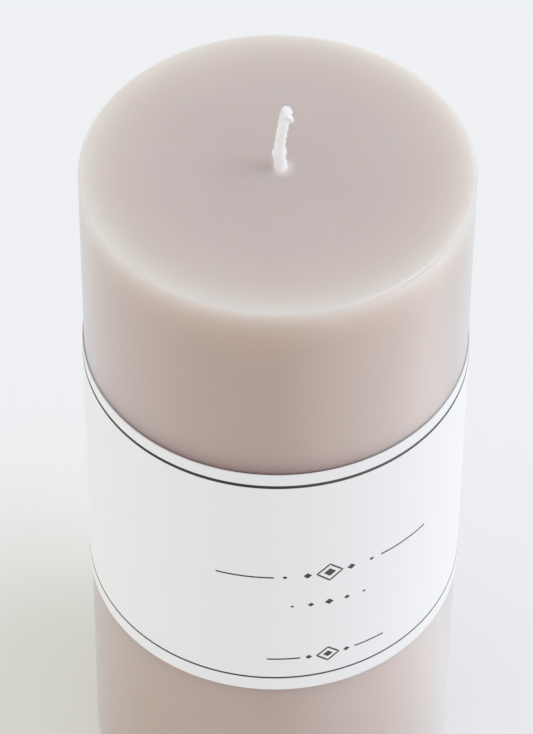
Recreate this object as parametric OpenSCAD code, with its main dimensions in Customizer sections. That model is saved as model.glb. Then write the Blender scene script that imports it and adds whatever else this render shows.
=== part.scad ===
// Pillar candle: a round pillar of wax cast in one piece, a plaited cotton wick that
// runs down through it, and a paper band wrapped once round its middle.
// Millimetres, +Z up. The origin is the centre of the base, where the candle stands.
// The printed front of the band faces -Y.

/* [Wax pillar] */
// Diameter of the pillar
wax_d = 69; // [50:0.5:110]
// Height of the pillar
wax_h = 150; // [90:1:260]
// Rounding of the rim at the top
rim_r = 0.8; // [0.4:0.1:4]
// Rounding of the edge at the base
base_r = 1.6; // [0.4:0.1:4]
// Gap all round between the wick and the hole it fills
bore_gap = 0.03; // [0.01:0.01:0.1]

/* [Wick strands] */
// Diameter of each of the three plaited strands
strand_d = 1.1; // [0.8:0.05:2]
// How far a strand swings to each side of the wick's middle
plait_swing = 0.42; // [0.2:0.02:0.8]
// How far a strand passes in front of the middle and behind it
plait_depth = 0.2; // [0.1:0.02:0.4]
// Length in which a strand comes back to the same side
plait_pitch = 5; // [3:0.1:10]
// Depth of the valleys that the priming wax leaves between the strands
valley = 0.08; // [0.02:0.01:0.3]

/* [Wick form] */
// Distance of the wick from the pillar's axis
wick_off = 0.75; // [0:0.05:3]
// Direction in which it stands off the axis, seen from above
wick_turn = 30; // [-180:1:180]
// Height above the wax at which the tip begins to bend over
shaft_h = 12.9; // [8:0.1:25]
// Direction in which the shaft sways, seen from above
sway_turn = -17; // [-180:1:180]
// Pull of the lower third to that side
sway_low = -0.75; // [-2:0.05:2]
// Pull of the upper third to that side
sway_high = 0.25; // [-2:0.05:2]
// Place of the upper end on that side
sway_top = 0.8; // [-2:0.05:2]
// Direction to which the tip bends over, seen from above
tip_turn = -93; // [-180:1:180]
// Angle through which the tip bends
tip_bend = 118; // [30:1:120]
// Distance of the bend's axis from the inner side of the wick
bend_gap = 0.08; // [0.05:0.01:0.5]
// Length of the tip past its bend
tip_l = 0.9; // [0.1:0.05:2]
// Length in which its end rounds off
tip_round = 0.4; // [0.1:0.05:0.9]
// Height of the lower end above the base
tail_up = 0.5; // [0.2:0.1:5]

/* [Wax on the wick] */
// Height of the thicker coat above the pillar
sleeve_h = 4.5; // [2:0.1:7]
// How much the thicker coat adds all round
sleeve_t = 0.14; // [0.05:0.01:0.5]
// Radius of the skirt where the coat meets the pillar
skirt_r = 0.3; // [0.2:0.05:1.5]
// How far the larger bead of wax stands out
bead_out = 0.42; // [0.1:0.02:0.8]
// Length of the beads
bead_l = 1.4; // [0.4:0.05:2.5]

/* [Paper band] */
// Height of the band
band_h = 59.9; // [30:0.1:80]
// Distance of its top edge below the top of the pillar
band_drop = 40.6; // [10:0.1:60]
// Thickness of the paper
paper_t = 0.22; // [0.1:0.01:0.5]
// Gap all round between the wax and the paper
paper_gap = 0.04; // [0.01:0.01:0.2]
// Length of paper glued down over its own start, at the back
lap_l = 12; // [5:0.5:30]
// Length in which the paper climbs over its start
ramp_l = 1.5; // [0.5:0.1:4]

/* [Printed rules] */
// Width of the upper rule
upper_rule_w = 0.6; // [0.2:0.05:3]
// Its middle, below the top edge of the paper
upper_rule_in = 3.1; // [2:0.1:12]
// Width of the lower rule
lower_rule_w = 0.35; // [0.2:0.05:3]
// Its middle, above the bottom edge of the paper
lower_rule_in = 3.5; // [2:0.1:12]
// Height of the ink above the paper
ink_t = 0.02; // [0.01:0.01:0.05]

/* [Hidden] */
$fn = 180;

// Sizes of the wick that the rest is fitted to
wick_r = plait_swing + strand_d / 2;
foot_at = wick_off * heading(wick_turn);

// Radii of the wrapped strip: its inner face, its outer face, and the outer face of its lap
band_in_r = wax_d / 2 + paper_gap;
band_out_r = band_in_r + paper_t;
lap_out_r = band_out_r + paper_t;
band_z = wax_h - band_drop - band_h;

// Angles of the lap, which is centred on the back, opposite the printed front
back = 90;
lap_half = lap_l / band_out_r * 90 / PI;
ramp_turn = ramp_l / band_out_r * 180 / PI;

// Fineness of the wick's skin
sides = 24;
shaft_rings = 56;
bend_rings = 10;
skirt_rings = 4;
cap_rings = 3;
cap_turn = 80;

// How far the cut for the hole runs past the wax at both ends
bore_past = 1;

// Beads of wax: height above the pillar, direction round the wick, share of bead_out
beads = [[3.3, 192, 1], [3.6, 12, 0.65], [2.7, 70, 0.3]];
bead_spread = 40;

function heading(turn) = [cos(turn), sin(turn), 0];
function unit(v) = v / norm(v);
function ease(x) = let(c = min(max(x, 0), 1)) c * c * (3 - 2 * c);
function bezier(p, t) =
    pow(1 - t, 3) * p[0] + 3 * pow(1 - t, 2) * t * p[1] + 3 * (1 - t) * t * t * p[2] + pow(t, 3) * p[3];
function bezier_way(p, t) =
    pow(1 - t, 2) * (p[1] - p[0]) + 2 * (1 - t) * t * (p[2] - p[1]) + t * t * (p[3] - p[2]);

// The swaying shaft, as one curve with four handles at even heights. Its rings lie level at the
// foot, where the skirt sits on the pillar, and square to the curve above the thicker coat
shaft = [for (k = [0 : 3])
    foot_at + [0, 0, wax_h + shaft_h * k / 3] + [0, sway_low, sway_high, sway_top][k] * heading(sway_turn)];
function shaft_at(s) = bezier(shaft, s / shaft_h);
function shaft_way_at(s) =
    let(free = ease(s / sleeve_h)) unit(free * unit(bezier_way(shaft, s / shaft_h)) + (1 - free) * [0, 0, 1]);
shaft_end = shaft_at(shaft_h);
shaft_way = shaft_way_at(shaft_h);

// The bend of the tip, round an axis that lies across tip_turn
bend_r = wick_r + bend_gap;
over = unit(heading(tip_turn) - (heading(tip_turn) * shaft_way) * shaft_way);
function bent(turn) = shaft_end + bend_r * (sin(turn) * shaft_way + (1 - cos(turn)) * over);
function bent_way(turn) = cos(turn) * shaft_way + sin(turn) * over;
tip_way = bent_way(tip_bend);

// Distance from the wick's middle to the outside of one strand, in direction a
function strand_reach(at, a) =
    let(off = norm(at), turn = a - atan2(at[1], at[0]), left = pow(strand_d / 2, 2) - pow(off * sin(turn), 2))
    left < 0 ? 0 : off * cos(turn) + sqrt(left);

// The plait at distance s above the wax: the furthest of its three strands, and the wax between them
function plait_reach(s, a) = max(concat([wick_r - valley], [for (k = [0 : 2])
    let(phase = 360 * (s / plait_pitch + k / 3))
    strand_reach([plait_swing * sin(phase), plait_depth * sin(2 * phase)], a)]));

// Wax outside the plait: the thicker coat, its skirt on the pillar, and the beads
function coat(s) = sleeve_t * ease((sleeve_h - s) / bead_l + 1);
function skirt(s) = s < skirt_r ? skirt_r - sqrt(pow(skirt_r, 2) - pow(skirt_r - s, 2)) : 0;
function bead(s, a, b) =
    let(turn = ((a - b[1] + 540) % 360 - 180) / bead_spread, along = (s - b[0]) / (bead_l / 2))
    b[2] * bead_out * exp(-turn * turn - pow(along, 4));
function coat_reach(s, a) = coat(s) + skirt(s) + sum([for (b = beads) bead(s, a, b)]);
function sum(v, k = 0) = k < len(v) ? v[k] + sum(v, k + 1) : 0;

// One ring of the wick's skin, square to the wick's way, shrunk by the factor k
across = heading(tip_turn + 90);
function ring(at, way, s, k = 1) =
    let(side = unit(across - (across * way) * way), front = cross(side, way))
    [for (i = [0 : sides - 1]) let(a = 360 * i / sides, r = k * (plait_reach(s, a) + coat_reach(s, a)))
        at + r * (cos(a) * side + sin(a) * front)];
function bore_ring(z) =
    [for (i = [0 : sides - 1]) let(a = -360 * i / sides + tip_turn + 90) foot_at + [0, 0, z] + wick_r * heading(a)];

module skin(rings) {
    n = len(rings[0]);
    last = (len(rings) - 1) * n;
    walls = [for (k = [0 : len(rings) - 2], i = [0 : n - 1])
        let(a = k * n + i, b = k * n + (i + 1) % n) each [[a, b, b + n], [a, b + n, a + n]]];
    ends = [[for (i = [n - 1 : -1 : 0]) i], [for (i = [0 : n - 1]) last + i]];
    polyhedron(points = [for (r = rings) each r], faces = concat(walls, ends));
}

module wax_body() {
    color([0.74, 0.68, 0.65])
        difference() {
            rotate_extrude() pillar_section();
            translate([foot_at.x, foot_at.y, -bore_past])
                cylinder(r = wick_r + bore_gap, h = wax_h + 2 * bore_past);
        }
}

module pillar_section() {
    union() {
        square([wax_d / 2 - rim_r, wax_h]);
        translate([0, base_r]) square([wax_d / 2, wax_h - base_r - rim_r]);
        square([wax_d / 2 - base_r, wax_h / 2]);
        translate([wax_d / 2 - rim_r, wax_h - rim_r]) circle(rim_r);
        translate([wax_d / 2 - base_r, base_r]) circle(base_r);
    }
}

module wick() {
    color([0.95, 0.95, 0.94])
        skin(concat(
            [bore_ring(tail_up), bore_ring(wax_h)],
            [for (k = [0 : skirt_rings - 1]) let(s = skirt_r * pow(k / skirt_rings, 2))
                ring(shaft_at(s), shaft_way_at(s), s)],
            [for (k = [0 : shaft_rings]) let(s = skirt_r + (shaft_h - skirt_r) * k / shaft_rings)
                ring(shaft_at(s), shaft_way_at(s), s)],
            [for (k = [1 : bend_rings]) let(turn = tip_bend * k / bend_rings)
                ring(bent(turn), bent_way(turn), shaft_h + bend_r * turn * PI / 180)],
            [for (k = [0 : cap_rings]) let(turn = cap_turn * k / cap_rings)
                ring(bent(tip_bend) + (tip_l + tip_round * sin(turn)) * tip_way, tip_way,
                    shaft_h + bend_r * tip_bend * PI / 180, cos(turn))]
        ));
}

module paper_band() {
    color([0.96, 0.96, 0.97])
        translate([0, 0, band_z]) linear_extrude(band_h) wrapped_strip();
    color([0.1, 0.1, 0.11]) {
        rule(band_z + band_h - upper_rule_in, upper_rule_w);
        rule(band_z + lower_rule_in, lower_rule_w);
    }
}

module rule(z, w) {
    translate([0, 0, z - w / 2]) linear_extrude(w) wrapped_strip(ink_t);
}

// The strip seen from above: one whole turn, its end laid over its start, and the climb between
module wrapped_strip(ink = 0) {
    difference() {
        union() {
            circle(band_out_r + ink);
            intersection() {
                circle(lap_out_r + ink);
                slice(back - lap_half, back + lap_half);
            }
            polygon([
                [0, 0],
                (band_out_r + ink) * flat(back + lap_half + ramp_turn),
                (lap_out_r + ink) * flat(back + lap_half),
                (lap_out_r + ink) * flat(back),
            ]);
        }
        circle(band_in_r);
    }
}

function flat(turn) = [cos(turn), sin(turn)];

module slice(from, to) {
    reach = 2 * lap_out_r;
    polygon([[0, 0], reach * flat(from), reach * flat(to)]);
}

wax_body();
wick();
paper_band();
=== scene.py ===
"""A pillar candle: a wax pillar, a plaited wick and a printed paper band."""
import math

import bpy
from mathutils import Matrix, Vector


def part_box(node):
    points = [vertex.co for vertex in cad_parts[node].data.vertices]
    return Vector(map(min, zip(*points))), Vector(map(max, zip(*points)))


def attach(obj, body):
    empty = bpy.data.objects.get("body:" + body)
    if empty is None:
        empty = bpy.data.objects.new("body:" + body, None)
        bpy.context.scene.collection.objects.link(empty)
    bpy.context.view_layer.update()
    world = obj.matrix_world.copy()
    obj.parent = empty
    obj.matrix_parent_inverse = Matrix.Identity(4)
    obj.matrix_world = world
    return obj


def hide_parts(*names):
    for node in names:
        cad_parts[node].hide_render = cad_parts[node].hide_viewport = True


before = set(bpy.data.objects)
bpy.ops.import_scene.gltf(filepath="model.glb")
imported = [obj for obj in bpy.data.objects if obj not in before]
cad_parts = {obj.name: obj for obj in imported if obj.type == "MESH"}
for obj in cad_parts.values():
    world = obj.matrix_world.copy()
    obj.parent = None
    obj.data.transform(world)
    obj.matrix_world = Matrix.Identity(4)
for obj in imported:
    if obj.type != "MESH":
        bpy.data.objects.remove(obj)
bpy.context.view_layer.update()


# The camera
# It looks down on the rim from a little to the left of the printed front, through a long lens
# from about three quarters of a metre away, as the photograph was taken.
camera_turn = math.radians(-17)
camera_tilt = math.radians(47.49)
camera_roll = math.radians(0.65)
camera_distance = 0.7636
aim_height = 0.09955
photo_wide = 533
photo_high = 734
lens_in_pixels = 4215
lens_centre_x = 275.6


def in_scene(name, data):
    """A new object in the scene. It stays at the origin unless it is given a place."""
    thing = bpy.data.objects.new(name, data)
    bpy.context.scene.collection.objects.link(thing)
    return thing


def level(turn):
    """The level direction at an angle from +X, which runs to the right as one faces the print."""
    return Vector((math.cos(turn), math.sin(turn), 0))


level_right = level(camera_turn)
level_ahead = level(camera_turn + math.radians(90))
ahead = level_ahead * math.cos(camera_tilt) - Vector((0, 0, math.sin(camera_tilt)))
upright = level_right.cross(ahead)
right = level_right * math.cos(camera_roll) + upright * math.sin(camera_roll)
up = upright * math.cos(camera_roll) - level_right * math.sin(camera_roll)
camera_axes = Matrix((right, up, -ahead)).transposed().to_4x4()
camera_place = Vector((0, 0, aim_height)) - ahead * camera_distance

camera = in_scene("camera", bpy.data.cameras.new("camera"))
camera.data.lens = camera.data.sensor_width * lens_in_pixels / photo_high
camera.data.shift_x = (photo_wide / 2 - lens_centre_x) / photo_high
camera.data.clip_start = 0.05
camera.data.clip_end = 50
camera.matrix_world = Matrix.Translation(camera_place) @ camera_axes
bpy.context.scene.camera = camera


# The floor and the light
# A pale floor, with a painted shadow in the pillar's lee and painted reflections that only glossy rays see,
# in a bright room whose side walls are its brightest. A soft sun high on the right throws the wick's shadow
# to the left, and a small window lamp near the rim helps it on that side.
pale = (0.873, 0.885, 0.901, 1)
floor_reach = 4
floor_corners = [(x * floor_reach, y * floor_reach, 0) for x, y in ((-1, -1), (1, -1), (1, 1), (-1, 1))]
floor_mesh = bpy.data.meshes.new("floor")
floor_mesh.from_pydata(floor_corners, [], [(0, 1, 2, 3)])
floor = in_scene("floor", floor_mesh)

own_light = 0.3
# Painted shadow: the floor's colour in the pillar's lee, darker and warmer, and as glossy rays see it.
painted_shadow_colour = (0.565, 0.57, 0.512, 1)
mirrored_shadow_colour = (0.52, 0.34, 0.14, 1)
# Painted reflections: the floor glows brighter on two sides, but only to glossy rays.
bright_side = level(math.radians(-47))
bright_strength = 1.9
dim_side = level(math.radians(-162))
dim_strength = 0.3
# Where the painted shadow and the painted reflections begin, and where they are full. A width is how squarely
# a spot of the floor lies on their side, and the others are its distance from the pillar's axis in metres.
painted_shadow_width = (0.35, 0.95)
painted_shadow_length = (0.102, 0.05)
bright_width = (0.5, 0.95)
dim_width = (0.6, 0.95)
reflection_start = (0.02, 0.09)
reflection_end = (0.4, 0.17)


def feed(socket, value):
    """Links a value of a node tree to an input, or writes a plain one into it."""
    value = getattr(value, "socket", value)
    if isinstance(value, bpy.types.NodeSocket):
        socket.id_data.links.new(value, socket)
    else:
        socket.default_value = value


def add(tree, kind, inputs=None, **settings):
    """Adds one node with its settings, then its inputs by name or by number."""
    node = tree.nodes.new(kind)
    for name, value in settings.items():
        setattr(node, name, value)
    for key, value in (inputs or {}).items():
        feed(node.inputs[key], value)
    return node


def step(tree, kind, inputs=None, **settings):
    """Adds one node and gives its first output."""
    return add(tree, kind, inputs, **settings).outputs[0]


def is_vector(term):
    """Whether a term is a vector, as a plain value or in a node tree."""
    return isinstance(term, Vector) or getattr(getattr(term, "socket", None), "type", "") == "VECTOR"


class Value:
    """A number or a vector of a node tree, so that a rule for the nodes reads as plain arithmetic."""

    def __init__(self, socket):
        self.socket = socket

    def by(self, operation, *terms):
        """One node of arithmetic with this value first, on vectors where any of the terms is one."""
        vectors = any(is_vector(term) for term in (self, *terms))
        kind = "ShaderNodeVectorMath" if vectors else "ShaderNodeMath"
        node = add(self.socket.id_data, kind, dict(enumerate((self, *terms))), operation=operation)
        gives_number = operation in ("LENGTH", "DOT_PRODUCT")
        return Value(node.outputs[1 if gives_number else 0])

    def __add__(self, other):
        return self.by("ADD", other)

    def __sub__(self, other):
        return self.by("SUBTRACT", other)

    def __neg__(self):
        return self * -1.0

    def __rsub__(self, other):
        return -self + other

    def __mul__(self, other):
        if is_vector(self) == is_vector(other):
            return self.by("MULTIPLY", other)
        way, scale = (self, other) if is_vector(self) else (other, self)
        inputs = {0: way, "Scale": scale}
        return Value(step(self.socket.id_data, "ShaderNodeVectorMath", inputs, operation="SCALE"))

    def __truediv__(self, other):
        return self.by("DIVIDE", other)

    def __rtruediv__(self, other):
        return Value(step(self.socket.id_data, "ShaderNodeMath", {0: other, 1: self}, operation="DIVIDE"))

    def __pow__(self, other):
        return self.by("POWER", other)

    def root(self):
        return self.by("SQRT")

    def exp(self):
        return self.by("EXPONENT")

    def sin(self):
        return self.by("SINE")

    def cos(self):
        return self.by("COSINE")

    def length(self):
        return self.by("LENGTH")

    def unit(self):
        return self.by("NORMALIZE")

    def dot(self, other):
        return self.by("DOT_PRODUCT", other)

    def cross(self, other):
        return self.by("CROSS_PRODUCT", other)

    def most(self, other):
        return self.by("MAXIMUM", other)

    def least(self, other):
        return self.by("MINIMUM", other)

    def above(self, other):
        return self.by("GREATER_THAN", other)

    def below(self, other):
        return self.by("LESS_THAN", other)

    def ease(self, low, high):
        """0 at low, 1 at high, and smooth between them."""
        inputs = {"Value": self, "From Min": low, "From Max": high}
        return Value(step(self.socket.id_data, "ShaderNodeMapRange", inputs, interpolation_type="SMOOTHSTEP"))

    def parts(self):
        """The three numbers of a vector."""
        split = add(self.socket.id_data, "ShaderNodeSeparateXYZ", {0: self})
        return [Value(socket) for socket in split.outputs]


def object_place(tree):
    """The place on the piece in its own space, in metres."""
    return Value(add(tree, "ShaderNodeTexCoord").outputs["Object"])


def mixed(tree, share, first, second, kind="MIX"):
    """The second colour over the first, as far as the share says."""
    inputs = {"Factor": share, "A": first, "B": second}
    return add(tree, "ShaderNodeMix", inputs, data_type="RGBA", blend_type=kind).outputs["Result"]


def new_material(name, **settings):
    """A Principled material with plain values on its own sockets."""
    material = bpy.data.materials.new(name)
    material.use_nodes = True
    shader = material.node_tree.nodes["Principled BSDF"]
    for key, value in settings.items():
        shader.inputs[key.replace("_", " ")].default_value = value
    return material, material.node_tree, shader


def floor_material():
    """Pale, a little lit of itself, with a painted shadow, darker and warmer, in the pillar's lee. To glossy
    rays it glows brighter on two sides, a painted reflection in the wax."""
    material, tree, shader = new_material("floor", Roughness=0.9, Specular_IOR_Level=0.1, Emission_Color=pale)
    place = object_place(tree)
    heading = place.unit()
    distance = place.length()
    mirrored = Value(add(tree, "ShaderNodeLightPath").outputs["Is Glossy Ray"])
    # Painted shadow in the pillar's lee, darker and warmer, with less of the floor's own light.
    painted_shadow = heading.dot(-level_right).ease(*painted_shadow_width) * distance.ease(*painted_shadow_length)
    lit_pale = [part * (1 - own_light) for part in pale[:3]]
    tint = mixed(tree, mirrored, painted_shadow_colour, mirrored_shadow_colour)
    feed(shader.inputs["Base Color"], mixed(tree, painted_shadow, (*lit_pale, 1), tint))
    # Painted reflections, glowing only to glossy rays.
    bright = heading.dot(bright_side).ease(*bright_width) * bright_strength
    dim = heading.dot(dim_side).ease(*dim_width) * dim_strength
    painted_reflections = (bright + dim) * distance.ease(*reflection_start) * distance.ease(*reflection_end)
    feed(shader.inputs["Emission Strength"], (painted_reflections - painted_shadow * own_light) * mirrored + own_light)
    return material


floor_mesh.materials.append(floor_material())


def hang_lamp(name, kind, aim, way, **settings):
    """A lamp that hangs off a point by a vector and shines back at that point."""
    lamp = in_scene(name, bpy.data.lights.new(name, kind))
    for setting, value in settings.items():
        setattr(lamp.data, setting, value)
    lamp.matrix_world = Matrix.Translation(aim + way) @ way.to_track_quat("Z", "Y").to_matrix().to_4x4()
    return lamp


wax_radius, _, wax_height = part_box("wax_body")[1]
top_middle = Vector((0, 0, wax_height))
sun_height = math.radians(55)
sun_way = level_right * math.cos(sun_height) + Vector((0, 0, math.sin(sun_height)))
hang_lamp("sun", "SUN", top_middle, sun_way, energy=0.69, color=(0.94, 1.0, 1.12), angle=math.radians(28))
window_right = 0.12
window_back = 0.03
window_rise = 0.2
window_way = level_right * window_right + level_ahead * window_back + Vector((0, 0, window_rise))
window = hang_lamp("window", "AREA", top_middle, window_way, energy=0.024, size=0.12)
window.visible_camera = False

# The walls brighten with the square of how far they lie to either side. To the camera, and mirrored
# or seen through something, the room is a plain pale backdrop instead.
wall_light = 0.6
wall_tilt = -0.02
wall_sides = 0.8
left_air = (1.01, 0.995, 0.94, 1)
right_air = (0.985, 0.99, 1.02, 1)
room = bpy.data.worlds.new("room")
room.use_nodes = True
bpy.context.scene.world = room
air = room.node_tree
shine = air.nodes["Background"]
sideways = Value(add(air, "ShaderNodeTexCoord").outputs["Generated"]).dot(level_right)
feed(shine.inputs["Color"], mixed(air, sideways.ease(-1.0, 1.0), left_air, right_air))
feed(shine.inputs["Strength"], (sideways * wall_sides + wall_tilt) * sideways + wall_light)
backdrop = step(air, "ShaderNodeBackground", {"Color": pale, "Strength": 1.0})
rays = add(air, "ShaderNodeLightPath").outputs
seen, mirrored, let_through = [Value(rays[f"Is {kind} Ray"]) for kind in ("Camera", "Glossy", "Transmission")]
plainly_seen = seen.most(mirrored).most(let_through)
shown = step(air, "ShaderNodeMixShader", {0: plainly_seen, 1: shine.outputs[0], 2: backdrop})
feed(air.nodes["World Output"].inputs["Surface"], shown)


# The wax pillar
# One solid of greige paraffin wax, cast upright round its wick and knocked out of the mould. Its
# flat top and its side meet in a small rounded rim, and the wick's hole runs down it to the base.
rim_rounding = 0.0008
base_rounding = 0.0016
wick_radius = 0.00097
wick_foot = level(math.radians(30)) * 0.00075
bore_gap = 0.00003

# Colours by distance: on the top from the rim inwards, and on the side from the top down. The top is paler
# and cooler than the side, and the pale stops near the rim are painted glow of light through the thin wax.
top_colours_painted_glow = (
    (0.0, (0.595, 0.577, 0.555)), (0.002, (0.623, 0.598, 0.563)), (0.004, (0.623, 0.566, 0.519)),
    (0.0075, (0.595, 0.514, 0.478)), (0.014, (0.559, 0.478, 0.455)), (0.028, (0.536, 0.455, 0.436)))
side_colours_painted_glow = (
    (0.0, (0.589, 0.542, 0.505)), (0.0015, (0.595, 0.532, 0.478)), (0.0027, (0.582, 0.493, 0.428)),
    (0.004, (0.564, 0.442, 0.371)), (0.006, (0.531, 0.397, 0.323)), (0.009, (0.499, 0.362, 0.3)),
    (0.014, (0.483, 0.354, 0.297)), (0.029, (0.476, 0.354, 0.3)))

# Painted shade beside the band, where it keeps light out of the wax: how strong it is above and below
# the band, over what length it dies away, and how much less of it is painted on the bright side.
band_low, band_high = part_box("paper_band")
behind_band = band_low.z + 0.01
band_shade_colour = (0.17, 0.01, 0.01, 1)
band_shade_above = 0.74
band_shade_above_length = 0.0022
band_shade_below = 0.22
band_shade_below_length = 0.0021
lit_share = 0.6
lit_width = (0.75, 1.0)

# The whitish film round the wick's foot, partly wax and partly painted glow of light led down the wick,
# and the dense wax just under it.
film_glow_colour = (0.65, 0.575, 0.555, 1)
film_glow_middle = wick_foot + level_right * 0.0003 - level_ahead * 0.0001
film_glow_edge = (0.0026, 0.0011)
film_glow_unevenness = 0.0012
film_glow_waves = 900.0
dense_edge = (0.0035, 0.0015)


def joined(tree, x, y, z):
    """A vector of three numbers."""
    return Value(step(tree, "ShaderNodeCombineXYZ", {0: x, 1: y, 2: z}))


def noise(tree, place, scale, detail=2.0, roughness=0.5):
    """Noise between 0 and 1, with about so many lumps to a metre."""
    inputs = {"Vector": place, "Scale": scale, "Detail": detail, "Roughness": roughness}
    return Value(add(tree, "ShaderNodeTexNoise", inputs).outputs["Fac"])


def inputs_of(tree):
    """The inputs of a tree or a node group, by name."""
    return {socket.name: Value(socket) for socket in tree.nodes.new("NodeGroupInput").outputs if socket.name}


def surface_grain():
    """The shared effect of a surface that isn't quite even: shade, roughness and small relief."""
    group = bpy.data.node_groups.new("surface_grain", "ShaderNodeTree")
    sockets = {
        "INPUT": {"Place": "Vector", "Cloud Size": "Float", "Grain Size": "Float", "Mottling": "Float",
                  "Roughness": "Float", "Roughness Range": "Float", "Relief": "Float"},
        "OUTPUT": {"Shade": "Color", "Roughness": "Float", "Normal": "Vector"},
    }
    for in_out, kinds in sockets.items():
        for label, kind in kinds.items():
            group.interface.new_socket(label, in_out=in_out, socket_type=f"NodeSocket{kind}")
    given = inputs_of(group)
    cloud = noise(group, given["Place"], 1.0 / given["Cloud Size"], detail=3.0, roughness=0.55)
    grain = noise(group, given["Place"], 1.0 / given["Grain Size"], detail=2.0, roughness=0.55)
    shade = (cloud - 0.5 + (grain - 0.5) * 0.5) * given["Mottling"] + 1.0
    rough = given["Roughness"] + (cloud + grain - 1.0) * given["Roughness Range"]
    height = (grain + cloud * 2.0) * given["Relief"]
    relief = step(group, "ShaderNodeBump", {"Height": height, "Distance": 1.0})
    grey = joined(group, shade, shade, shade)
    add(group, "NodeGroupOutput", {"Shade": grey, "Roughness": rough, "Normal": relief})
    return group


grain_group = surface_grain()


def grained(tree, shader, colour, **values):
    """Lays the shared grain over a colour and into the shader's roughness and normal."""
    uneven = add(tree, "ShaderNodeGroup", node_tree=grain_group)
    feed(uneven.inputs["Place"], object_place(tree))
    for name, value in values.items():
        feed(uneven.inputs[name.replace("_", " ")], value)
    feed(shader.inputs["Base Color"], mixed(tree, 1.0, colour, uneven.outputs["Shade"], "MULTIPLY"))
    feed(shader.inputs["Roughness"], uneven.outputs["Roughness"])
    feed(shader.inputs["Normal"], uneven.outputs["Normal"])


def colour_along(tree, distance, stops):
    """The colour at a distance: the stops are pairs of a distance in metres and a colour."""
    furthest = stops[-1][0]
    node = add(tree, "ShaderNodeValToRGB", {0: distance / furthest})
    points = node.color_ramp.elements
    while len(points) < len(stops):
        points.new(0.5)
    for point, (place, colour) in zip(points, stops):
        point.position = place / furthest
        point.color = (*colour, 1)
    return node.outputs["Color"]


def fading(distance, length, strength):
    """A strength that dies away over a length."""
    return (distance.most(0.0) / -length).exp() * strength


def wax_material():
    """Light scatters in it, under a satin skin. Its colour carries painted glow, palest at the rim where the
    wax is thin, painted shade beside the band, and a whitish film round the wick's foot that is partly
    painted glow."""
    material, tree, shader = new_material(
        "wax", IOR=1.44, Subsurface_Radius=(1.0, 0.75, 0.65), Subsurface_Scale=0.01, Sheen_Weight=1.0,
        Sheen_Roughness=0.45, Sheen_Tint=(0.9, 0.97, 1.0, 1), Coat_Weight=0.3, Coat_Roughness=0.2,
        Coat_IOR=1.44)
    x, y, z = object_place(tree).parts()
    off_axis = joined(tree, x, y, 0.0)
    # The ramps paint the glow of light through the thin rim into the colour.
    on_top = colour_along(tree, wax_radius - off_axis.length(), top_colours_painted_glow)
    on_side = colour_along(tree, wax_height - z, side_colours_painted_glow)
    flat = z.ease(wax_height - rim_rounding, wax_height)
    wax_and_painted_glow = mixed(tree, flat, on_side, on_top)

    # Painted shade beside the band, where it keeps light out of the wax; less of it on the bright side.
    over_band = fading(z - band_high.z, band_shade_above_length, band_shade_above) * z.above(behind_band)
    under_band = fading(band_low.z - z, band_shade_below_length, band_shade_below) * z.below(behind_band)
    lit = off_axis.unit().dot(bright_side).ease(*lit_width) * lit_share
    band_shaded = mixed(tree, (over_band + under_band) * (1.0 - lit), wax_and_painted_glow, band_shade_colour)

    # The film round the wick's foot: partly whitish wax, partly painted glow of light led down the wick.
    off_film_glow = joined(tree, x - film_glow_middle.x, y - film_glow_middle.y, 0.0).length()
    ragged = (noise(tree, off_axis, film_glow_waves) - 0.5) * film_glow_unevenness
    film_glowed = mixed(tree, (off_film_glow + ragged).ease(*film_glow_edge) * flat, band_shaded, film_glow_colour)
    feed(shader.inputs["Subsurface Weight"], 1.0 - off_film_glow.ease(*dense_edge) * flat)
    grained(tree, shader, film_glowed, Cloud_Size=0.012, Grain_Size=0.0007, Mottling=0.05, Roughness=0.38,
            Roughness_Range=0.12, Relief=0.00001)
    return material


socket_kinds = {float: "NodeSocketFloat", int: "NodeSocketInt", Vector: "NodeSocketVector",
                bpy.types.Material: "NodeSocketMaterial"}
corner_angle = math.radians(40)


def open_tree(name, sizes):
    """A Geometry Nodes tree with a named input for each size. Returns the tree and its inputs by name."""
    tree = bpy.data.node_groups.new(name, "GeometryNodeTree")
    tree.interface.new_socket("Geometry", in_out="INPUT", socket_type="NodeSocketGeometry")
    for label, value in sizes.items():
        tree.interface.new_socket(label, in_out="INPUT", socket_type=socket_kinds[type(value)])
    tree.interface.new_socket("Geometry", in_out="OUTPUT", socket_type="NodeSocketGeometry")
    return tree, inputs_of(tree)


def close_tree(tree, geometry, material):
    """Ends a tree: real geometry, smooth but for its corners, in its material."""
    real = step(tree, "GeometryNodeRealizeInstances", {0: geometry})
    smooth = step(tree, "GeometryNodeSetShadeSmooth", {0: real})
    corner = Value(step(tree, "GeometryNodeInputMeshEdgeAngle")).above(corner_angle)
    crisp = step(tree, "GeometryNodeSetShadeSmooth", {0: smooth, "Selection": corner, "Shade Smooth": False},
                 domain="EDGE")
    dressed = step(tree, "GeometryNodeSetMaterial", {0: crisp, "Material": material})
    add(tree, "NodeGroupOutput", {0: dressed})
    return tree


def made_by(tree, name, sizes):
    """Runs a tree with the given sizes, set by their sockets' identifiers. Keeps the result as a plain
    mesh and gives its object, which rides on the one body there is."""
    blank = in_scene("blank", bpy.data.meshes.new("blank"))
    rule = blank.modifiers.new("rule", "NODES")
    rule.node_group = tree
    for socket in tree.interface.items_tree:
        if socket.in_out == "INPUT" and socket.name in sizes:
            rule[socket.identifier] = sizes[socket.name]
    mesh = bpy.data.meshes.new_from_object(blank.evaluated_get(bpy.context.evaluated_depsgraph_get()))
    bpy.data.objects.remove(blank)
    mesh.name = name
    piece = in_scene(name, mesh)
    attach(piece, "root")
    return piece


def point_place(tree):
    """The place of each point of the geometry."""
    return Value(step(tree, "GeometryNodeInputPosition"))


def point_number(tree):
    """The number of each point of the geometry, from 0."""
    return Value(step(tree, "GeometryNodeInputIndex"))


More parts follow.
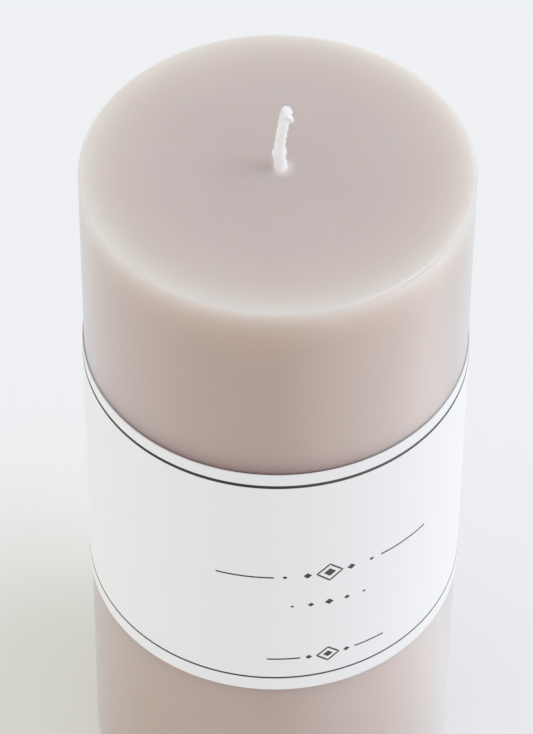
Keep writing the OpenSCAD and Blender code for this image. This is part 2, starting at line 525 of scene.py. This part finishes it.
def turned_pillar(sizes):
    """A section with rounded outer corners, turned round the bore. Its middle is then pulled aside to
    where the wick stands, and its skin made a little uneven."""
    tree, size = open_tree("turned_pillar", sizes)
    half_wall = (size["Radius"] - size["Bore Radius"]) * 0.5
    half_high = size["Height"] * 0.5
    section = step(tree, "GeometryNodeCurvePrimitiveQuadrilateral",
                   {"Width": half_wall * 2.0, "Height": size["Height"]})
    outward, upward, _ = point_place(tree).parts()
    nearly = 0.99
    outer = outward.above(half_wall * nearly)
    # The section's lower edge comes out at the top when it is turned.
    at_rim = outer * upward.below(half_high * -nearly)
    at_base = outer * upward.above(half_high * nearly)
    rounding = at_rim * size["Rim Rounding"] + at_base * size["Base Rounding"]
    rounded = step(tree, "GeometryNodeFilletCurve", {0: section, "Radius": rounding, "Count": 9}, mode="POLY")

    here = point_place(tree)
    following = add(tree, "GeometryNodeOffsetPointInCurve", {"Point Index": point_number(tree), "Offset": 1})
    there = step(tree, "GeometryNodeFieldAtIndex",
                 {"Index": following.outputs["Point Index"], "Value": here}, data_type="FLOAT_VECTOR")
    gap = (Value(there) - here).length()
    spaced = step(tree, "GeometryNodeSubdivideCurve", {0: rounded, "Cuts": gap / size["Step"]})
    circle = step(tree, "GeometryNodeCurvePrimitiveCircle",
                  {"Resolution": size["Segments"], "Radius": half_wall + size["Bore Radius"]})
    turned = step(tree, "GeometryNodeCurveToMesh", {"Curve": circle, "Profile Curve": spaced})
    lift = joined(tree, 0.0, 0.0, half_high)
    grounded = step(tree, "GeometryNodeTransform", {0: turned, "Translation": lift})

    place = point_place(tree)
    x, y, _ = place.parts()
    off_axis = joined(tree, x, y, 0.0).length()
    pull = off_axis.ease(size["Radius"] * 0.5, size["Bore Radius"])
    skin = off_axis.ease(size["Radius"] * 0.1, size["Radius"] * 0.6)
    normal = Value(step(tree, "GeometryNodeInputNormal"))
    sunk = noise(tree, place, size["Waves"]) * size["Unevenness"] * skin
    shift = size["Bore Place"] * pull - normal * sunk
    bored = step(tree, "GeometryNodeSetPosition", {0: grounded, "Offset": shift})
    return close_tree(tree, bored, size["Material"])


pillar_sizes = {
    "Radius": wax_radius, "Height": wax_height, "Rim Rounding": rim_rounding, "Base Rounding": base_rounding,
    "Bore Radius": wick_radius + bore_gap, "Bore Place": wick_foot, "Unevenness": 0.00006, "Waves": 55.0,
    "Step": 0.0016, "Segments": 224, "Material": wax_material(),
}
pillar = made_by(turned_pillar(pillar_sizes), "wax_pillar", pillar_sizes)
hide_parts("wax_body")


# The wick
# Three waxed cotton strands plaited flat, let into the pillar while it was poured. A thicker coat of wax
# with two beads and two faint lumps clings to its foot, it sways a little, and its tip bends to the front.
waxed_white = (0.97, 0.99, 1.0, 1)
tip_shade_grey = (0.82, 0.815, 0.86, 1)
# From which height up the wick to which the film and its painted glow cover it, light begins to scatter in
# it, and painted shade greys its tip.
film_glow_climb = (0.0006, 0.0001)
film_glow_share = 0.6
clear_climb = (0.0, 0.0025)
clear_share = 0.6
tip_shade_start = (0.0115, 0.0138)

# Each bead of wax: its height up the wick in metres, its heading in degrees and its share of the full size.
beads = ((0.0033, 192, 0.65), (0.0036, 12, 0.6), (0.0027, 70, 0.3), (0.0009, -10, 0.4))


def wick_material():
    """White waxed cotton, which takes on the film's colour, with its painted glow, at its very foot, and has
    painted shade at its tip.
    """
    material, tree, shader = new_material(
        "waxed_cotton", IOR=1.44, Subsurface_Radius=(1.0, 1.0, 1.0), Subsurface_Scale=0.0015,
        Sheen_Weight=1.0, Sheen_Roughness=0.5)
    risen = object_place(tree).parts()[2] - wax_height
    footed = mixed(tree, risen.ease(*film_glow_climb) * film_glow_share, waxed_white, film_glow_colour)
    # Painted shade greys the tip, which faces up and catches the most light.
    tip_shaded = mixed(tree, risen.ease(*tip_shade_start), footed, tip_shade_grey)
    feed(shader.inputs["Subsurface Weight"], risen.ease(*clear_climb) * clear_share)
    grained(tree, shader, tip_shaded, Cloud_Size=0.0012, Grain_Size=0.00012, Mottling=0.06, Roughness=0.5,
            Roughness_Range=0.2, Relief=0.000012)
    return material


def swayed(share, low, high, top):
    """How far a smooth sway has gone at a share of its length, and its slope there. It starts at 0,
    is drawn towards low and high on the way, and ends at top."""
    rest = 1.0 - share
    lean = rest * rest * share * 3.0 * low + rest * share * share * 3.0 * high + share * share * share * top
    slope = rest * rest * 3.0 * low + rest * share * 6.0 * (high - low) + share * share * 3.0 * (top - high)
    return lean, slope


def wick_path(tree, size, ring, along):
    """The middle line and its directions to the side and to the front: up in a sway, then over at the tip."""
    upward = joined(tree, 0.0, 0.0, 1.0)
    on_shaft = along.least(size["Shaft"])
    lean, slope = swayed(on_shaft / size["Shaft"], size["Sway Low"], size["Sway High"], size["Sway Top"])
    swaying = (size["Sway"] * (slope / size["Shaft"]) + upward).unit()
    free = on_shaft.ease(0.0, size["Sleeve"])
    shaft_way = (swaying * free + upward * (1.0 - free)).unit()
    shaft_place = size["Foot"] + size["Sway"] * lean + upward * (size["Wax Top"] + on_shaft)

    over = (size["Tip Heading"] - shaft_way * size["Tip Heading"].dot(shaft_way)).unit()
    turn = ((along - size["Shaft"]) / size["Bend Radius"]).most(0.0).least(size["Tip Bend"])
    way = shaft_way * turn.cos() + over * turn.sin()
    past_bend = (along - size["Shaft"] - size["Bend Radius"] * size["Tip Bend"]).most(0.0)
    bent = (shaft_way * turn.sin() + over * (1.0 - turn.cos())) * size["Bend Radius"]
    lowered = upward * (ring.below(1.5) * (size["Wax Top"] - size["Tail"]))
    middle = shaft_place + bent + way * past_bend - lowered

    across = size["Tip Heading"].cross(upward) * -1.0
    side = (across - way * across.dot(way)).unit()
    return middle, side, side.cross(way)


def plait_reach(size, angle, along, bare):
    """How far the three strands reach from the middle line, each with the twist of its yarn."""
    reach = size["Wick Radius"] - size["Valley"]
    for strand in range(3):
        phase = (along / size["Pitch"] + strand / 3) * math.tau
        to_side = size["Swing"] * phase.sin()
        to_front = size["Depth"] * (phase * 2.0).sin()
        outward = to_side * angle.cos() + to_front * angle.sin()
        sidestep = to_side * angle.sin() - to_front * angle.cos()
        round_strand = (sidestep / size["Strand Radius"]).most(-1.0).least(1.0).by("ARCSINE")
        hand = 1.0 if strand % 2 else -1.0
        yarns = round_strand * size["Yarns"] + along * (size["Yarn Twist"] * hand)
        strand_reach = (size["Strand Radius"] ** 2.0 - sidestep * sidestep).most(0.0).root()
        bulge = outward + strand_reach + yarns.sin() * size["Yarn Depth"] * bare
        reach = reach.by("SMOOTH_MAX", bulge, size["Blend"])
    return reach


def wick_reach(size, ring, angle, along, wick_end):
    """How far the surface lies from the middle line: plait, coat, skirt and beads of wax, and the cut tip."""
    bare = along.ease(size["Sleeve"], size["Sleeve"] + size["Bead Length"])
    coat = size["Sleeve Wax"] * (1.0 - bare)
    narrowed = 1.0 - along.ease(size["Shaft"], wick_end) * size["Taper"]
    low = (size["Skirt"] - along).most(0.0)
    skirt = size["Skirt"] - (size["Skirt"] ** 2.0 - low * low).most(0.0).root()
    reach = (plait_reach(size, angle, along, bare) + coat) * narrowed + skirt
    for height, heading, share in beads:
        round_bead = (angle - math.radians(heading)).by("WRAP", math.pi, -math.pi) / size["Bead Spread"]
        along_bead = (along - height) / (size["Bead Length"] * 0.5)
        swell = (-(round_bead * round_bead) - along_bead ** 4.0).exp()
        reach = reach + swell * (size["Bead Height"] * share)

    off_notch = (along - size["Notch"]) / size["Notch Width"]
    notch_side = angle.cos().ease(0.1, 0.9)
    notch = (-(off_notch ** 2.0)).exp() * notch_side
    cut = wick_end - size["Tip Rounding"] - (1.0 - angle.cos()) * size["Slant"]
    past_cut = ((along - cut) / size["Tip Rounding"]).most(0.0)
    free = (reach - notch * size["Notch Depth"]) * (1.0 - past_cut * past_cut).most(0.0).root()
    in_bore = ring.below(2.5)
    open_ring = ring.above(0.5) * ring.below(size["Rings"] - 1.5)
    return (free * (1.0 - in_bore) + size["Wick Radius"] * in_bore) * open_ring


def plaited_wick(sizes):
    """A grid bent round the middle line and sewn along its seam. Its rings 0 to 2 are the closed lower
    end and the plain length in the bore, and the others are spaced evenly up the free wick."""
    tree, size = open_tree("plaited_wick", sizes)
    across = size["Sides"] + 1
    grid = step(tree, "GeometryNodeMeshGrid", {"Vertices X": size["Rings"], "Vertices Y": across})
    number = point_number(tree)
    ring = (number / across + 0.0001).by("FLOOR")
    angle = (number - ring * across) / size["Sides"] * math.tau
    wick_end = size["Shaft"] + size["Bend Radius"] * size["Tip Bend"] + size["Tip"] + size["Tip Rounding"]
    along = ((ring - 3.0) / (size["Rings"] - 4)).most(0.0) * wick_end

    middle, side, front = wick_path(tree, size, ring, along)
    reach = wick_reach(size, ring, angle, along, wick_end)
    place = middle + (side * angle.cos() + front * angle.sin()) * reach
    shaped = step(tree, "GeometryNodeSetPosition", {0: grid, "Position": place})
    hair = 0.001
    long_seam = angle.below(hair).most(angle.above(math.tau - hair))
    seams = long_seam.most(ring.below(0.5)).most(ring.above(size["Rings"] - 1.5))
    sewn = step(tree, "GeometryNodeMergeByDistance", {0: shaped, "Selection": seams, "Distance": 0.000001})
    return close_tree(tree, sewn, size["Material"])


wick_sizes = {
    "Wick Radius": wick_radius, "Foot": wick_foot, "Wax Top": wax_height, "Tail": 0.0005,
    "Strand Radius": 0.00055, "Swing": 0.00042, "Depth": 0.0002, "Pitch": 0.005, "Valley": 0.00008,
    "Blend": 0.00004, "Yarn Depth": 0.000016, "Yarn Twist": 9000.0, "Yarns": 8.0,
    "Shaft": 0.0129, "Sway": level_right, "Sway Low": -0.00075, "Sway High": 0.00025, "Sway Top": 0.00068,
    "Tip Heading": level(math.radians(-93)), "Tip Bend": math.radians(118), "Bend Radius": 0.00105,
    "Tip": 0.00105, "Tip Rounding": 0.0004, "Taper": 0.08, "Slant": 0.0004,
    "Notch": 0.0151, "Notch Width": 0.00028, "Notch Depth": 0.0003,
    "Sleeve": 0.0045, "Sleeve Wax": 0.0001, "Skirt": 0.0003,
    "Bead Length": 0.0014, "Bead Height": 0.00042, "Bead Spread": math.radians(40),
    "Rings": 330, "Sides": 120, "Material": wick_material(),
}
wick = made_by(plaited_wick(wick_sizes), "wick_plait", wick_sizes)
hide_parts("wick")


# The paper band
# One strip of smooth white paper wrapped once round the middle of the pillar, tight on the wax,
# with its end glued down over its start at the back, where the free edge springs off a hair.
paper_thick = 0.00022
wax_gap = 0.00004
lap_gap = 0.00001
band_inside = wax_radius + wax_gap
band_outside = band_inside + paper_thick
paper_white = (0.885, 0.886, 0.887, 1)


def paper_or_ink(name, colour, gloss, **grain_values):
    """Both are one plain colour with its own gloss, under the shared grain."""
    material, tree, shader = new_material(name, Specular_IOR_Level=gloss)
    grained(tree, shader, colour, **grain_values)
    return material


paper = paper_or_ink("paper", paper_white, 0.02, Cloud_Size=0.004, Grain_Size=0.0002, Mottling=0.015,
                     Roughness=0.6, Roughness_Range=0.15, Relief=0.000005)


def wrapped_strip(sizes):
    """A flat section led once round the pillar and on over its own start. Its ends lie half a lap to
    either side of the middle of the back, and Trim takes a little off each."""
    tree, size = open_tree("wrapped_strip", sizes)
    line = step(tree, "GeometryNodeCurvePrimitiveLine")
    steps = step(tree, "GeometryNodeResampleCurve", {0: line, "Count": size["Steps"]})
    share = point_number(tree) / (size["Steps"] - 1)
    half_lap = size["Lap"] / size["Wrap Radius"] * 0.5
    trim = size["Trim"] / size["Wrap Radius"]
    whole_turn = half_lap * 2.0 + math.tau
    turned = share * (whole_turn - trim * 2.0) + trim
    climbed = turned.ease(math.tau - size["Climb"] / size["Wrap Radius"], math.tau)
    sprung = turned.ease(whole_turn - size["Spring Length"] / size["Wrap Radius"], whole_turn)
    reach = size["Inside"] + size["Thickness"] * 0.5 + size["Rise"] * climbed + size["Spring"] * sprung
    angle = half_lap + math.pi / 2 - turned
    place = joined(tree, reach * angle.cos(), reach * angle.sin(), size["Bottom"] + size["Height"] * 0.5)
    path = step(tree, "GeometryNodeSetPosition", {0: steps, "Position": place})
    level_path = step(tree, "GeometryNodeSetCurveNormal", {0: path}, mode="Z_UP")
    section = step(tree, "GeometryNodeCurvePrimitiveQuadrilateral",
                   {"Width": size["Thickness"], "Height": size["Height"]})
    strip = step(tree, "GeometryNodeCurveToMesh",
                 {"Curve": level_path, "Profile Curve": section, "Fill Caps": True})
    return close_tree(tree, strip, size["Material"])


band_sizes = {
    "Inside": band_inside, "Thickness": paper_thick, "Bottom": band_low.z, "Height": band_high.z - band_low.z,
    "Wrap Radius": band_outside, "Lap": 0.012, "Climb": 0.0015, "Rise": paper_thick + lap_gap,
    "Spring Length": 0.0035, "Spring": 0.0002, "Trim": 0.0, "Steps": 700, "Material": paper,
}
strip_tree = wrapped_strip(band_sizes)
band = made_by(strip_tree, "paper_wrap", band_sizes)
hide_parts("paper_band")


# The printing
# Black ink on the paper: a rule near each edge, which runs right round, and on the front a plain
# ornament of lozenges and fine rules in three rows.
ink_thick = 0.00002
ink_black = (0.014, 0.012, 0.014, 1)
ink = paper_or_ink("ink", ink_black, 0.3, Cloud_Size=0.0015, Grain_Size=0.0001, Mottling=0.6,
                   Roughness=0.45, Roughness_Range=0.2, Relief=0.000003)

# Each rule: the height of its middle, and its width.
rules = {"upper_rule": (band_high.z - 0.00307, 0.00074), "lower_rule": (band_low.z + 0.0035, 0.00042)}
for name, (height, width) in rules.items():
    rule_sizes = {
        **band_sizes, "Inside": band_inside + paper_thick / 2, "Thickness": paper_thick / 2 + ink_thick,
        "Bottom": height - width / 2, "Height": width, "Trim": 0.00002, "Material": ink,
    }
    made_by(strip_tree, name, rule_sizes)


def printed_row(sizes):
    """A framed lozenge in the middle, smaller lozenges beside it and a fine rule at each end, drawn flat
    and then bent round the band. A part whose size is 0 is left out."""
    tree, size = open_tree("printed_row", sizes)
    stand = (math.radians(90), 0, 0)
    depth = size["Ink"] + size["Sunk"]

    corners = step(tree, "GeometryNodeCurvePrimitiveCircle", {"Resolution": 4, "Radius": 0.5})
    frame_scale = joined(tree, size["Frame Width"], size["Frame Height"], 1.0)
    squeezed = step(tree, "GeometryNodeTransform", {0: corners, "Scale": frame_scale})
    edged = step(tree, "GeometryNodeSubdivideCurve", {0: squeezed, "Cuts": 5})
    stroke = step(tree, "GeometryNodeCurvePrimitiveQuadrilateral",
                  {"Width": size["Line Width"], "Height": depth})
    frame_line = step(tree, "GeometryNodeCurveToMesh", {"Curve": edged, "Profile Curve": stroke})
    framed = step(tree, "GeometryNodeTransform", {0: frame_line, "Rotation": stand})

    lozenge = step(tree, "GeometryNodeMeshCylinder", {"Vertices": 4, "Radius": 0.5, "Depth": depth},
                   fill_type="TRIANGLE_FAN")
    stood = step(tree, "GeometryNodeTransform", {0: lozenge, "Rotation": stand})
    last = (size["Lozenges"] - 1) * 0.5
    row_start = joined(tree, last * size["Spacing"] * -1.0, 0.0, 0.0)
    row_step = joined(tree, size["Spacing"], 0.0, 0.0)
    spots = step(tree, "GeometryNodeMeshLine",
                 {"Count": size["Lozenges"], "Start Location": row_start, "Offset": row_step})
    fade = 1.0 - (point_number(tree) - last).by("ABSOLUTE") * size["Fading"]
    lozenge_scale = joined(tree, size["Lozenge Width"] * fade, 1.0, size["Lozenge Height"] * fade)
    lozenges = step(tree, "GeometryNodeInstanceOnPoints",
                    {"Points": spots, "Instance": stood, "Scale": lozenge_scale})

    length = size["Rule End"] - size["Rule Start"]
    bar = step(tree, "GeometryNodeMeshCube",
               {"Size": joined(tree, length, depth, size["Line Width"]), "Vertices X": 18})
    drawn = [(framed, size["Frame Width"]), (lozenges, size["Spacing"])]
    for hand in (-1.0, 1.0):
        move = joined(tree, (size["Rule Start"] + length * 0.5) * hand, 0.0, 0.0)
        drawn.append((step(tree, "GeometryNodeTransform", {0: bar, "Translation": move}), length))
    together = add(tree, "GeometryNodeJoinGeometry")
    for part, extent in drawn:
        kept = step(tree, "GeometryNodeSwitch", {"Switch": extent.above(0.0), "True": part})
        tree.links.new(kept, together.inputs[0])

    laid = step(tree, "GeometryNodeRealizeInstances", {0: together.outputs[0]})
    x, y, z = point_place(tree).parts()
    round_band = x / size["Paper Radius"]
    out = size["Paper Radius"] + size["Ink"] - depth * 0.5 - y
    wrapped = joined(tree, out * round_band.sin(), out * round_band.cos() * -1.0, z + size["Height"])
    on_paper = step(tree, "GeometryNodeSetPosition", {0: laid, "Position": wrapped})
    return close_tree(tree, on_paper, size["Material"])


band_middle = (band_low.z + band_high.z) / 2
row_sizes = {
    "Paper Radius": band_outside, "Ink": ink_thick, "Sunk": 0.00005, "Line Width": 0.00035,
    "Height": band_middle + 0.00225, "Frame Width": 0.0048, "Frame Height": 0.0044,
    "Lozenges": 5, "Spacing": 0.0041, "Lozenge Width": 0.0023, "Lozenge Height": 0.0021, "Fading": 0.3,
    "Rule Start": 0.0102, "Rule End": 0.0208, "Material": ink,
}
rows = {
    "ornament_upper": {},
    "ornament_middle": {
        "Height": band_middle - 0.006, "Frame Width": 0.0, "Frame Height": 0.0,
        "Spacing": 0.0034, "Lozenge Width": 0.0017, "Lozenge Height": 0.0015,
        "Rule Start": 0.0, "Rule End": 0.0,
    },
    "ornament_lower": {
        "Height": band_middle - 0.021, "Frame Width": 0.0042, "Frame Height": 0.0037,
        "Lozenges": 3, "Spacing": 0.0036, "Lozenge Width": 0.0019, "Lozenge Height": 0.0016,
        "Rule Start": 0.0052, "Rule End": 0.0113,
    },
}
row_tree = printed_row(row_sizes)
for name, own_sizes in rows.items():
    made_by(row_tree, name, {**row_sizes, **own_sizes})


bpy.context.scene.view_settings.view_transform = "Standard"
